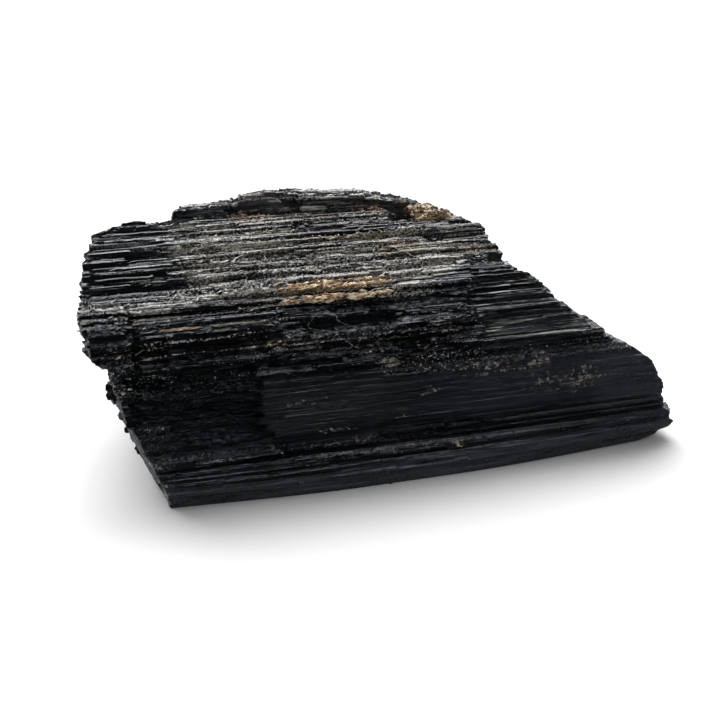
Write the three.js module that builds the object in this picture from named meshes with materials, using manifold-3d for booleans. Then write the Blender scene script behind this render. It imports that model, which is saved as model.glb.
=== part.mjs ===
// A natural block of black tourmaline: one bundle of parallel prisms that grew together,
// broken across at both ends and lying on its flattest side.
//
// Millimetres, +Z up. X runs along the prisms, Y from the front face to the back, and the
// origin is the centre of the block's box, on the plane that the block rests on.
import * as THREE from "three";
import { mergeVertices } from "three/addons/utils/BufferGeometryUtils.js";
import Module from "manifold-3d";

// ---- Driving dimensions -------------------------------------------------------------------

// The outline of the block across the prisms, as [y, z], counter-clockwise seen from the
// right-hand end. y is measured from the front face and z from the resting plane.
const OUTLINE = [
  [0.2, 0],
  [75, 0],
  [78.5, 10],
  [79, 27],
  [74.5, 37],
  [66, 43.2],
  [57, 45.3],
  [46, 43.6],
  [30, 41],
  [14, 38],
  [6.6, 31],
  [2.2, 24],
  [0.4, 14],
  [-1.2, 5],
];

// How far along X the two broken ends stand. Each is a height part plus a depth part.
const LEFT_END_BY_HEIGHT = [[0, 0], [5, -2.5], [14, -7], [24, -10], [31, -14.5], [46, -14.5]];
const LEFT_END_BY_DEPTH = [[0, 0], [14, 0], [30, 2.5], [46, 5], [53, 8], [58, 14], [79, 17]];
const RIGHT_END_BY_HEIGHT = [
  [0, 112.5],
  [5, 112],
  [14, 109.5],
  [20, 104.5],
  [24, 97],
  [31, 88],
  [38, 80.5],
  [46, 80],
];
const RIGHT_END_BY_DEPTH = [[0, 0], [14, 0], [46, -1], [53, -3], [58, -7], [66, -10], [79, -14]];

// The middle of the outline, and the heart of the bundle, where the prisms leave no gap
// between them: it stands in from the outline and from the ends.
const MIDDLE = [38, 20];
const HEART_INSET = -6;
const HEART_SPAN = [9, 68];

// Where the box's centre lies, so that the finished block is centred on X and Y.
const CENTRE_X = 48.7;
const CENTRE_Y = 39;

const PRISM_PITCH = 5.8; // between the axes of neighbouring prisms
const PRISM_RADIUS = 4.3; // of a prism's outline, more than half the pitch so that prisms grow together
const PRISM_WANDER = 0.9; // how far an axis strays from the even lattice
const LEVEL_LOW = -0.9; // how far the faces of single prisms stand in from the outline
const LEVEL_HIGH = 0.3; // and out from it
const END_STAGGER = 1.4; // how far single prisms stop short of the broken ends or pass them
const END_REACH = 1.12; // the ends are read this much further out from the middle than a prism's axis
const SMALLEST_PRISM = 11; // mm2, a thinner sliver is left out
const ROCK_SEED = 9;

// Raised and sunken stretches of the faces: [name, y range, z range, x range, level in mm].
const TERRACES = [
  ["scoop low on the left of the front", [-1, 6], [8, 27], [-20, 19], -2.2],
  ["shoulder block along the front ridge", [1, 12], [29, 37], [-20, 67], 1.7],
  ["rib under the shoulder block", [0, 7], [24, 31], [-20, 61], 1.0],
  ["front plate that the scoop ends at", [-1, 6], [12, 24], [19, 52], 0.6],
  ["worn trough behind the ridge", [12, 20], [36, 42], [25, 51], -1.3],
  ["low left shelf of the top", [50, 64], [40, 50], [-20, 12], -1.0],
  ["low right corner of the top", [52, 68], [38, 50], [68, 100], -2.0],
];

// The ridge of taller prisms along the back of the top: outlines as [y, z], and x ranges.
const BACK_RIDGE = [
  { outline: [[55.3, 40], [61.5, 40], [61.5, 46.4], [58.6, 46.8], [55.6, 46.2]], x: [12, 68] },
  { outline: [[55.6, 42], [62.2, 42], [62.2, 47.6], [59, 47.8], [56, 47.2]], x: [13, 58] },
  { outline: [[60.8, 38], [66.5, 38], [66.8, 44.6], [64.2, 46.7], [60.8, 47]], x: [16, 62.5] },
  { outline: [[57, 42], [62.6, 42], [62.4, 48.7], [60, 49.3], [57.4, 48.6]], x: [27, 44] },
  { outline: [[65.5, 36], [71, 36], [70.8, 41.4], [65.5, 45]], x: [20, 60] },
];

// ---- Small tools --------------------------------------------------------------------------

// Evenly spread numbers from 0 to 1, the same ones each time.
function seededRandom(seed) {
  let state = seed >>> 0;
  return () => {
    state = (state + 0x6d2b79f5) >>> 0;
    let t = state;
    t = Math.imul(t ^ (t >>> 15), t | 1);
    t ^= t + Math.imul(t ^ (t >>> 7), t | 61);
    return ((t ^ (t >>> 14)) >>> 0) / 4294967296;
  };
}

const random = seededRandom(ROCK_SEED);
const between = (low, high) => low + (high - low) * random();
const within = (value, [low, high]) => value >= low && value <= high;

// The value of a table of [position, value] rows at a position, straight between rows.
function readTable(table, position) {
  if (position <= table[0][0]) return table[0][1];
  for (let i = 1; i < table.length; i++) {
    const [p0, v0] = table[i - 1];
    const [p1, v1] = table[i];
    if (position <= p1) return v0 + ((v1 - v0) * (position - p0)) / (p1 - p0);
  }
  return table[table.length - 1][1];
}

const leftEnd = (y, z) => readTable(LEFT_END_BY_HEIGHT, z) + readTable(LEFT_END_BY_DEPTH, y);
const rightEnd = (y, z) => readTable(RIGHT_END_BY_HEIGHT, z) + readTable(RIGHT_END_BY_DEPTH, y);

function polygonArea(polygon) {
  return polygon.reduce((sum, [y0, z0], i) => {
    const [y1, z1] = polygon[(i + 1) % polygon.length];
    return sum + (y0 * z1 - y1 * z0) / 2;
  }, 0);
}

// The part of a convex polygon on the inner side of the line through a and b, moved out by
// a level. The line runs counter-clockwise, so its inner side is on the left.
function clipToEdge(polygon, a, b, level) {
  const length = Math.hypot(b[0] - a[0], b[1] - a[1]);
  const inward = [-(b[1] - a[1]) / length, (b[0] - a[0]) / length];
  const depth = ([y, z]) => (y - a[0]) * inward[0] + (z - a[1]) * inward[1] + level;
  const kept = [];
  polygon.forEach((p, i) => {
    const q = polygon[(i + 1) % polygon.length];
    const dp = depth(p);
    const dq = depth(q);
    if (dp >= 0) kept.push(p);
    if (dp * dq < 0) {
      const t = dp / (dp - dq);
      kept.push([p[0] + (q[0] - p[0]) * t, p[1] + (q[1] - p[1]) * t]);
    }
  });
  return kept;
}

// The part of a prism's outline inside the block's outline. The level doesn't move the
// resting side, which is the outline's first edge.
function clipToBlock(polygon, level) {
  return OUTLINE.reduce((kept, a, i) => {
    const b = OUTLINE[(i + 1) % OUTLINE.length];
    return kept.length ? clipToEdge(kept, a, b, i === 0 ? 0 : level) : kept;
  }, polygon);
}

// ---- Solids -------------------------------------------------------------------------------

const wasm = await Module();
wasm.setup();

function solidOf(geometry) {
  const bare = geometry.clone().deleteAttribute("normal").deleteAttribute("uv");
  const merged = mergeVertices(bare, 1e-4);
  return new wasm.Manifold(
    new wasm.Mesh({
      numProp: 3,
      vertProperties: merged.attributes.position.array,
      triVerts: new Uint32Array(merged.index.array),
    }),
  );
}

function geometryOf(solid) {
  const mesh = solid.getMesh();
  return new THREE.BufferGeometry()
    .setAttribute("position", new THREE.BufferAttribute(mesh.vertProperties, 3))
    .setIndex(new THREE.BufferAttribute(mesh.triVerts, 1));
}

// A straight prism along X with the given [y, z] outline.
function prism(outline, x0, x1) {
  const shape = new THREE.Shape(outline.map(([y, z]) => new THREE.Vector2(y, z)));
  const geometry = new THREE.ExtrudeGeometry(shape, { depth: x1 - x0, bevelEnabled: false });
  const yzToBlock = new THREE.Matrix4().makeBasis(
    new THREE.Vector3(0, 1, 0),
    new THREE.Vector3(0, 0, 1),
    new THREE.Vector3(1, 0, 0),
  );
  return solidOf(geometry.applyMatrix4(yzToBlock).translate(x0, 0, 0));
}

// A tourmaline prism's outline: three broad sides and three narrow ones, a little irregular.
function prismOutline(y, z) {
  const turn = between(0, Math.PI / 3);
  return [0, 1, 2, 3, 4, 5].map((corner) => {
    const angle = turn + (corner * Math.PI) / 3 + (corner % 2 ? 0.16 : -0.16);
    const radius = PRISM_RADIUS * between(0.94, 1.06);
    return [y + radius * Math.cos(angle), z + radius * Math.sin(angle)];
  });
}

// The stretches of one prism as [x0, x1, level]: its whole length at its lowest level, and
// each terrace or unbroken stretch that stands higher.
function stretches(y, z, x0, x1) {
  const level = between(LEVEL_LOW, LEVEL_HIGH);
  const breakAt = between(x0 + 12, x1 - 12);
  const cuts = [x0, breakAt, x1];
  const terraces = TERRACES.filter(([, ys, zs]) => within(y, ys) && within(z, zs));
  for (const [, , , xs] of terraces) cuts.push(...xs.filter((x) => x > x0 + 1 && x < x1 - 1));
  cuts.sort((a, b) => a - b);
  const brokenSide = random() < 0.5 ? -1 : 1;
  const rows = cuts.slice(1).map((end, i) => {
    const middle = (cuts[i] + end) / 2;
    const raised = terraces.filter(([, , , xs]) => within(middle, xs));
    const chipped = (middle - breakAt) * brokenSide > 0 ? -0.45 : 0;
    return [cuts[i], end, raised.reduce((sum, terrace) => sum + terrace[4], level + chipped)];
  });
  const lowest = Math.min(...rows.map((row) => row[2]));
  return [[x0, x1, lowest], ...rows.filter((row) => row[2] > lowest + 0.05)];
}

// Every prism of the bundle, on a lattice across the outline.
function bundle() {
  const solids = [];
  const rowHeight = (PRISM_PITCH * Math.sqrt(3)) / 2;
  for (let row = 0; row * rowHeight < 52; row++) {
    for (let column = 0; column * PRISM_PITCH < 86; column++) {
      const y = (column + (row % 2) / 2) * PRISM_PITCH + between(-1, 1) * PRISM_WANDER;
      const z = row * rowHeight + 1.5 + between(-1, 1) * PRISM_WANDER;
      const outline = prismOutline(y, z);
      const outer = [MIDDLE[0] + END_REACH * (y - MIDDLE[0]), MIDDLE[1] + END_REACH * (z - MIDDLE[1])];
      const x0 = leftEnd(...outer) + between(-0.5, 1) * END_STAGGER;
      const x1 = rightEnd(...outer) - between(-0.5, 1) * END_STAGGER;
      for (const [from, to, level] of stretches(y, z, x0, x1)) {
        const kept = clipToBlock(outline, level);
        if (kept.length > 2 && polygonArea(kept) > SMALLEST_PRISM) solids.push(prism(kept, from, to));
      }
    }
  }
  return solids;
}

// The solid middle of the bundle.
function heart() {
  return prism(clipToBlock(OUTLINE, HEART_INSET), ...HEART_SPAN);
}

function backRidge() {
  return BACK_RIDGE.map(({ outline, x }) => prism(outline, ...x));
}

// ---- The block ----------------------------------------------------------------------------

const blackTourmaline = new THREE.MeshStandardMaterial({ color: 0x17181a, roughness: 0.38, metalness: 0 });

function block() {
  const joined = wasm.Manifold.union([heart(), ...bundle(), ...backRidge()]);
  const mesh = new THREE.Mesh(geometryOf(joined), blackTourmaline);
  mesh.name = "black_tourmaline";
  mesh.position.set(-CENTRE_X, -CENTRE_Y, 0);
  return mesh;
}

const part = new THREE.Group();
part.add(block());

export default part;
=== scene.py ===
"""A natural block of black tourmaline: parallel prisms that grew together, broken at both ends.

The block is one closed skin. Its long sides are a sheet wrapped round an outline, raised and sunk
by prisms, breaks and splinters, and its two ends are sheets of prism ends. The slabs, needles,
grains and crusts that stand out from it are joined meshes of small closed solids rooted in it.
"""

import math

import bpy
import numpy as np
from mathutils import Matrix, Vector


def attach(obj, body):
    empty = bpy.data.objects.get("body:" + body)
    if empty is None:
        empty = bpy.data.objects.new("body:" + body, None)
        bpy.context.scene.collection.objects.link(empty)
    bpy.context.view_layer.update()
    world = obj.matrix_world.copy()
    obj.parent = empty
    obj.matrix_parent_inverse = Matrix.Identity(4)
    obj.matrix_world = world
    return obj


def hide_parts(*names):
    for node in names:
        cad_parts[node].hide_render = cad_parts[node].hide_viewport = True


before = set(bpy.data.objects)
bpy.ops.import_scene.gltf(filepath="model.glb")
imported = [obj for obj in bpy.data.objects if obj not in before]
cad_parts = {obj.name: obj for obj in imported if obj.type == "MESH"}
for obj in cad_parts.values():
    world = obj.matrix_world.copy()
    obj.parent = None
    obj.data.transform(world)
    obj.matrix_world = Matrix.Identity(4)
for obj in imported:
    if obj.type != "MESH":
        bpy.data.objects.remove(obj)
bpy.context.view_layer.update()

# ---- Driving sizes, in millimetres ----
# x runs along the prisms, y from the front face to the back and z up from the resting plane.
# u is the way round the outline from the bottom front edge, up the front, over the top and down
# the back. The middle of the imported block's box lies at BLOCK_MIDDLE.

MM = 0.001
BLOCK_MIDDLE = (48.7, 39.0, 0.0)

# The outline across the prisms: y, z, and how much of the back ridge's height is added to z.
OUTLINE = [
    (0.4, 0, 0), (-1, 5, 0), (0.6, 14, 0), (2.4, 24, 0), (6.8, 31, 0), (14, 38, 0), (30, 41, 0),
    (46, 43.5, 0), (55.3, 45, 0), (55.9, 45.2, 1), (60.5, 45.4, 1), (62.5, 44.9, 0.55),
    (66, 43.2, 0), (74.5, 37, 0), (78.6, 27, 0), (78, 10, 0), (75, 0, 0),
]
RIDGE_RISE = 3.4  # the ridge height that u is measured with
# The ridge climbs and falls by broken prisms: where along x, and by how much.
RIDGE_BREAKS = [
    (11.6, 2.1), (19.5, 0.4), (25.4, -0.5), (27, 1.5), (31.5, 0.4), (36, -0.3),
    (41, -0.5), (46.5, -0.4), (53, -0.4), (58, -0.9), (62, -0.8), (65, -0.6),
]
RIDGE_FRONT = 55.3  # y of the ridge's front
RIDGE_SLANT = 0.33  # a break there lies this much further right for every millimetre behind it
SLANTED = 8.0  # how far back the breaks slant

# Where the two broken ends stand along x: a part that goes with height and one with depth.
LEFT_BY_HEIGHT = [
    (0, -1.2), (5, -3.8), (10, -5.8), (14, -7.2), (19, -8.4), (24, -9.4), (26.5, -9.8),
    (28.5, -11.2), (30, -12.9), (32, -13.6), (38, -14), (46, -12.8),
]
LEFT_BY_DEPTH = [(0, 0), (14, 0), (30, 2.2), (46, 4.2), (53, 8), (58, 14), (79, 17)]
RIGHT_BY_HEIGHT = [
    (0, 104.2), (0.7, 104.6), (0.9, 109.4), (1.9, 109.8), (2.3, 112.4), (3.4, 113), (5, 112),
    (8, 110.8), (14, 109.5), (19, 106.4), (24, 99), (28, 94.4), (31, 90), (34.5, 87.8),
    (38, 84.8), (46, 84.2),
]
RIGHT_BY_DEPTH = [
    (0, 0), (3, -0.6), (13, -2), (16, -5.6), (22, -4.9), (30, -4.6), (33, -3.6), (38, -3),
    (40, -4.4), (46, -4.9), (50, -7.6), (53, -8.4), (56, -11.8), (66, -17), (79, -20),
]
LEFT_BEVEL = 1.5  # how much the lower front corner of the left end is cut back
END_CENTRE = (38.0, 20.0)  # y and z of the point that the end sheets are drawn round

FOOT_BULGE = 4.4  # how far the middle of the bottom front edge stands forward
FOOT_LIFT = 0.3  # how far that edge stands off the floor at the right end

STEP_SEEN = 0.26  # spacing of the sheet's rows on the front, the top and the ridge
STEP_BACK = 0.65
STEP_UNDER = 1.5
COLUMNS = round(125 / 0.36)  # about 0.36 mm apart
END_RINGS = 66
END_SEEDS = (101, 201)  # of the left and the right end
BEYOND_LEFT, BEYOND_RIGHT = -20, 110  # x further out than the ends' upper edges
MOST_TRIANGLES = 196_000
BLOCK_CREASE, PRISM_CREASE = 22, 25  # degrees from which an edge is sharp

# Levels of prisms: seed, narrowest and widest, shortest and longest, height, and tilt across.
PRISMS = dict(seed=11, widths=(3.2, 7.5), lengths=(34, 110), height=0.55, tilt=0.10)
RIBS = dict(seed=27, widths=(1.1, 3.2), lengths=(14, 70), height=0.34, tilt=0.16)
SPLINTERS = dict(seed=45, widths=(0.5, 1.2), lengths=(5, 34), height=0.15, tilt=0.22)
SHINGLE_TILT = 0.26
# How far prisms run out of true: seed, how far, and over what length along x and along u.
WANDER = [(3, 0.5, 52, 11), (4, 0.1, 13, 3)]
# How ragged a break across them is: seed, how far, and the width of the strips it jumps between.
RAGGED = [(5, 2.6, 1.7), (6, 1.3, 0.55)]
# Broken chips: seed, lean across the prisms, length, width and height.
CHIPS = [(61, 0.5, 1.7, 0.75, 0.48), (71, -0.6, 0.8, 0.5, 0.224)]
CHIP_TILT = 1.6
REST_EDGE = 0.6  # width of the smooth rim round the resting plane

# ---- Chance and small shapes ----


def chance(seed, i, j=0):
    """A number from 0 to 1 for each pair of whole numbers, the same one each time."""
    i, j = np.asarray(i).astype(np.int64), np.asarray(j).astype(np.int64)
    with np.errstate(over="ignore"):
        n = i.astype(np.uint64) * np.uint64(0x9E3779B97F4A7C15)
        n = n ^ (j.astype(np.uint64) * np.uint64(0xC2B2AE3D27D4EB4F))
        n = n + np.uint64(seed * 0x1656677 + 0x27D4EB2F)
        for shift, factor in ((30, 0xBF58476D1CE4E5B9), (27, 0x94D049BB133111EB), (31, 1)):
            n = (n ^ (n >> np.uint64(shift))) * np.uint64(factor)
    return (n >> np.uint64(11)).astype(float) / 2.0**53


def ease(t):
    """From 0 to 1 with soft ends as t goes from 0 to 1."""
    t = np.clip(t, 0, 1)
    return t * t * (3 - 2 * t)


def drift(seed, a, b=0.0):
    """Smooth noise from -1 to 1 that changes over a distance of 1."""
    a, b = np.broadcast_arrays(np.asarray(a, float), np.asarray(b, float))
    ia, ib = np.floor(a), np.floor(b)
    fa, fb = ease(a - ia), ease(b - ib)
    low = chance(seed, ia, ib) * (1 - fa) + chance(seed, ia + 1, ib) * fa
    high = chance(seed, ia, ib + 1) * (1 - fa) + chance(seed, ia + 1, ib + 1) * fa
    return (low * (1 - fb) + high * fb) * 2 - 1


def inside(t, low, high, soft):
    """1 between low and high, fading to 0 over a distance of soft."""
    return ease((t - low) / soft + 0.5) * ease((high - t) / soft + 0.5)


def patch(x, u, x0, x1, u0, u1, fade_x, fade_u):
    """1 on a patch of the sides and 0 off it."""
    return inside(x, x0, x1, fade_x) * inside(u, u0, u1, fade_u)


def cells(seed, a, b):
    """The nearest seed point of a jittered lattice of spacing 1: its two numbers and its offset."""
    ia, ib = np.floor(a), np.floor(b)
    best = np.full(np.shape(a), 9.0)
    found = [np.zeros(np.shape(a)) for _ in range(4)]
    for da in (-1, 0, 1):
        for db in (-1, 0, 1):
            ca, cb = ia + da, ib + db
            oa = a - ca - 0.1 - 0.8 * chance(seed, ca, cb)
            ob = b - cb - 0.1 - 0.8 * chance(seed + 1, ca, cb)
            away = oa * oa + ob * ob
            near = away < best
            best = np.where(near, away, best)
            found = [np.where(near, new, old) for new, old in zip((ca, cb, oa, ob), found)]
    return found


def tilted(seed, ca, cb, oa, ob):
    """The height across a cell's face that is tilted its own way."""
    return (chance(seed + 3, ca, cb) - 0.5) * oa + (chance(seed + 4, ca, cb) - 0.5) * ob


def chips(seed, a, b, tilt):
    """Small broken facets of size 1, each with a height of its own and tilted its own way."""
    ca, cb, oa, ob = cells(seed, a, b)
    return chance(seed + 2, ca, cb) - 0.5 + tilt * tilted(seed, ca, cb, oa, ob)


# ---- The outline ----

outline = np.array(OUTLINE + [OUTLINE[0]], float)
drawn = np.c_[outline[:, 0], outline[:, 1] + RIDGE_RISE * outline[:, 2]]
turns = np.r_[0, np.cumsum(np.hypot(*np.diff(drawn, axis=0).T))]
# u where the ridge starts, where the top ends and where the underside starts, and all the way round.
U_RIDGE, U_TOP_END, U_UNDER, U_ROUND = turns[[8, 12, 16, 17]]


def rows_round():
    """The values of u for the sheet's rows."""
    rows, start = [], 0
    for stop, step in ((U_TOP_END, STEP_SEEN), (U_UNDER, STEP_BACK), (U_ROUND, STEP_UNDER)):
        rows.append(np.linspace(start, stop, round((stop - start) / step), endpoint=False))
        start = stop
    return np.concatenate(rows)


def slant(y):
    """How much further right the breaks of the ridge lie at a depth."""
    return RIDGE_SLANT * np.clip(y - RIDGE_FRONT, 0, SLANTED)


def ridge_height(x, u):
    """How much the back ridge adds to the outline, ragged from prism to prism."""
    ragged = x - slant(np.interp(u, turns, outline[:, 0])) + 0.7 * (chance(8, np.floor(u / 0.9)) - 0.5)
    return sum(rise * ease((ragged - start) / 0.4 + 0.5) for start, rise in RIDGE_BREAKS)


def base_point(x, u):
    """y and z of the plain outline."""
    y = np.interp(u, turns, outline[:, 0])
    z = np.interp(u, turns, outline[:, 1]) + ridge_height(x, u) * np.interp(u, turns, outline[:, 2])
    # The foot bulges forward in the middle of its length, and lifts towards the right.
    under = ease(1 - (U_ROUND - u) / 20)
    foot = FOOT_BULGE * inside(x, 5, 95, 70) * (ease(1 - u / 10) + under)
    lift = FOOT_LIFT * ease((x - 50) / 60) * (ease(1 - u / 6) + ease(1 - (U_ROUND - u) / 9))
    return y - foot, z + lift


def left_end(y, z):
    bevel = LEFT_BEVEL * ease(1 - (y + 1) / 8) * inside(z, 2, 16, 5)
    return np.interp(z, *zip(*LEFT_BY_HEIGHT)) + np.interp(y, *zip(*LEFT_BY_DEPTH)) + bevel


def right_end(y, z):
    return np.interp(z, *zip(*RIGHT_BY_HEIGHT)) + np.interp(y, *zip(*RIGHT_BY_DEPTH))


END_PRISM = 4.6  # width of a prism where it shows at an end
END_STAGGER = 1.0  # how far apart neighbouring prisms end
WING_STAGGER = 0.6  # the same where the right end slopes
END_TILT = 1.1
# Splinters and chips of the ends: seed, size, how far they stand out, how much less they do so on
# the right end's slope, and tilt.
END_CHIPS = [(5, 1.7, 0.7, 0.4, 0.8), (9, 0.7, 0.3, 0.15, 1.2)]


def end_slope(z, end):
    """1 on the right end's slope."""
    return ease((z - 18) / 8) * (end is right_end)


def smooth_bevel(y, z):
    """1 where the left end is smooth."""
    return ease((21 - z) / 6) * ease((15 - y) / 5)


def broken_end(y, z, end):
    """x of a broken end: the ends of whole prisms, each snapped at its own length, and splinters."""
    seed = END_SEEDS[end is right_end]
    ca, cb, oa, ob = cells(seed, y / END_PRISM, z / END_PRISM)
    centre_y, centre_z = y - 0.35 * oa * END_PRISM, z - 0.2 * ob * END_PRISM
    slope = end_slope(z, end)
    stagger = END_STAGGER + (WING_STAGGER - END_STAGGER) * slope
    out = stagger * (chance(seed + 2, ca, cb) - 0.5) + END_TILT * tilted(seed, ca, cb, oa, ob)
    for chip_seed, size, reach, less, tilt in END_CHIPS:
        out = out + (reach - less * slope) * chips(seed + chip_seed, y / size, z / size, tilt)
    # The lower front corner of the left end is one smooth bevel.
    bevel = smooth_bevel(y, z) * (end is left_end)
    return end(centre_y, centre_z) * (1 - bevel) + end(y, z) * bevel + out * (1 - 0.7 * bevel)


# ---- The sides ----


def stripes(x, u, seed, widths, lengths, height, tilt):
    """One level of prisms lying side by side, each broken into lengths that stand at their own
    height. Gives the height, how far across its prism each point is, from 0 to 1, and the
    prism's width."""
    rng = np.random.default_rng(seed)
    edges = [0.0]
    while edges[-1] < U_ROUND + widths[1]:
        edges.append(edges[-1] + widths[0] + (widths[1] - widths[0]) * rng.random() ** 1.6)
    edges = np.array(edges)
    count, most = len(edges), int(150 / lengths[0]) + 2
    breaks = np.cumsum(rng.uniform(*lengths, (count, most)), axis=1) - 20
    breaks = breaks - rng.uniform(0, lengths[1], (count, 1))
    heights = rng.uniform(-1, 1, (count, most + 1)) * height
    tilts = rng.uniform(-1, 1, (count, most + 1)) * tilt
    row = np.clip(np.searchsorted(edges, u) - 1, 0, count - 2)
    piece = sum((x > breaks[row, k]).astype(int) for k in range(most))
    width = edges[row + 1] - edges[row]
    across = (u - edges[row]) / width
    return heights[row, piece] + tilts[row, piece] * (across - 0.5) * width, across, width


# Raised and sunk places of the sides: x range, u range, height, fade along x, fade along u.
PLACES = [
    # The front.
    ("scoop", -6, 19, 10, 27.5, -1.2, 0.9, 2),
    ("scoop heart", 3, 18.5, 13, 21, -0.8, 4, 4),
    ("shoulder", -20, 67, 31.5, 38.5, 1.2, 0.8, 0.6),
    ("shoulder left block", -20, 25, 33.2, 37.2, 0.8, 0.8, 0.4),
    ("shoulder shelf", 8, 25.5, 36.4, 38, 0.5, 0.6, 0.3),
    ("rib under shoulder", -12, 61.5, 28, 31.5, 0.7, 0.8, 0.4),
    ("block on that rib", 33, 61, 29.2, 32.5, 0.6, 0.6, 0.4),
    ("lower rib", 19, 50, 25, 28, 0.5, 0.8, 0.4),
    ("lower rib's end", 38, 50, 24.6, 27.2, 0.5, 0.5, 0.3),
    ("lip of the top", -20, 68, 38.8, 41.3, 0.8, 0.8, 0.4),
    ("groove in the lip", -10, 20, 39.9, 40.4, -0.6, 6, 0.2),
    ("lens under the lip", 30, 49, 31.8, 34.6, -1.3, 3, 1),
    ("brow over the lens", 29, 50, 34.6, 35.8, 0.5, 3, 0.4),
    ("notch by left chunk", -5.5, 0.5, 24.5, 33.5, -1.6, 0.9, 1.2),
    ("left chunk", -18, -6, 35, 43.6, 0.9, 1, 0.6),
    ("gap beside the chunk", -5.5, -3.8, 30.5, 37, -1.3, 0.4, 1),
    ("hollow under shoulder", 0, 21, 29.5, 33.4, -0.9, 1.5, 0.8),
    ("dark run under lip", 36, 67.5, 35.6, 38.4, -1.2, 1.2, 0.6),
    ("plate", 19, 112, 12.5, 23.4, 0.4, 0.8, 0.8),
    ("swell of the plate", 60, 112, 11, 20, 0.4, 16, 2),
    ("wing", 68, 115, 24, 42, -0.8, 0.8, 2),
    ("wing's lowest slab", 63, 104, 26.2, 27.4, 0.7, 2, 0.3),
    ("wing's middle slab", 66, 92, 32.2, 34.4, 0.5, 1, 0.4),
    ("wing's dark step", 68.5, 90, 38.2, 39.4, -0.7, 2, 0.3),
    ("band over the plate", 48, 106, 22.4, 25, -0.5, 8, 0.8),
    ("groove under the plate", 52, 106, 10.4, 11.1, -1, 8, 0.3),
    ("second groove", 46, 108, 8.9, 9.6, -1.5, 8, 0.3),
    ("third groove", 16, 109, 7.7, 8.4, -1.6, 10, 0.3),
    ("ledge along the foot", -2, 108, 6.5, 7.6, 0.6, 2, 0.3),
    ("foot groove", 30, 110, 5.4, 6.1, -1.1, 12, 0.3),
    ("undercut foot", -4, 112, -1, 2.4, -0.5, 3, 1),
    ("scar in the foot", 46, 58, 3, 5.4, -0.5, 3, 0.8),
    # The top.
    ("grainy shelf", -14, 14, 42.5, 50, -0.7, 1.5, 0.8),
    ("shingle", 14, 25.6, 43, 47.2, 0.9, 0.5, 0.3),
    ("shingle's upper leaf", 15.5, 25.2, 45.3, 47, 0.4, 0.4, 0.2),
    ("stained hollow", 25.6, 51, 41.8, 47.5, -0.3, 0.8, 0.6),
    ("band under the seam", 25.6, 49, 39.2, 40, 1.1, 0.8, 0.9),
    ("ledge of the shelf line", 0, 22, 34, 35, 0.7, 1, 1.4),
    ("seam in the hollow", 25.6, 50, 41.1, 41.9, -1.6, 1, 0.3),
    ("dark recess", -12, 4.5, 50.2, 55.5, -0.8, 0.8, 0.3),
    *[("groove on the left", -14, x1, u0, u1, -1.3, fade_x, 0.3) for x1, u0, u1, fade_x in (
        (18, 56.2, 57, 3), (33, 60, 60.8, 3), (10, 69.4, 70.4, 2), (9, 72.6, 73.3, 2),
        (9, 75.6, 76.4, 2), (8, 78.6, 79.4, 2),
    )],
    ("short wide groove", 4, 12.5, 64.5, 67.4, -1.3, 0.8, 0.4),
    ("long groove", 40, 70, 54.6, 55.6, -1, 2, 0.3),
    ("long groove behind", 14, 66, 73.4, 74.4, -0.7, 4, 0.3),
    ("middle groove", 36, 68, 64.2, 65, -0.8, 4, 0.3),
    ("groove before it", 20, 56, 58.6, 59.3, -0.7, 6, 0.3),
    ("groove behind it", 12, 52, 68.6, 69.3, -0.7, 6, 0.3),
    ("pit at the right", 75.6, 83, 49.2, 51.7, -2, 0.8, 0.5),
    ("tan shelf", 69.5, 79.5, 51.6, 56.4, 0.5, 0.8, 0.6),
    ("rounded slab at right", 58, 80, 64.8, 71.5, 0.8, 1.5, 1.2),
    ("dark run under it", 66, 78.5, 61, 64.4, -1.3, 1.5, 0.8),
    ("low right corner", 66, 90, 60, 90, -0.6, 6, 8),
    ("knob", 68.5, 77.5, 75, 84.5, 0.3, 1.6, 2),
    ("knob's left block", 67.4, 70, 78, 83.5, 1, 0.4, 0.5),
    ("knob's middle block", 70.6, 73.4, 75.8, 79.6, 0.7, 0.4, 0.5),
    ("knob's back block", 70.4, 74.6, 80.8, 84.4, 0.7, 0.8, 1),
    ("knob's right block", 74, 76.8, 75, 78.4, 0.6, 0.4, 0.5),
    ("dark seam in the knob", 68.4, 76, 74.2, 75, -0.8, 0.6, 0.3),
    ("dark block behind it", 70, 76, 84, 88.5, 0.6, 1, 1),
    ("cavity by the knob", 62.4, 67, 74.5, 84, -3.4, 0.8, 1),
    ("low back corner", -30, 11.6, 80, 108, -0.6, 0.4, 6),
    ("lowest at its left", -30, -3, 80, 108, -0.9, 6, 8),
    ("behind the corner", -30, 11.6, 86.5, 112, -1.6, 0.4, 2),
    ("dark block at back", -1, 4.6, 81.6, 84, 0.9, 0.5, 0.4),
    ("foot of the ridge", 12, 66, 82, 84.6, 0.3, 4, 1.2),
    *[("block of the ridge", *place, 0.3, 0.3) for place in (
        (12.4, 17, 85.4, 88.4, 0.5), (18.2, 24, 84.6, 86.6, 0.6), (26.4, 29.6, 86.2, 89.6, 0.7),
        (31, 38, 85.2, 87, 0.6), (41.5, 45, 85.8, 89, 0.5), (48, 55, 85, 86.8, 0.6),
    )],
    ("gap in the ridge", 24.6, 26.2, 85, 89, -0.9, 0.4, 0.3),
    ("second gap", 38.8, 41, 84.8, 88, -0.8, 0.4, 0.3),
    ("whole top", -40, 120, 42.5, 96, -0.35, 1, 2),
]

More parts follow.
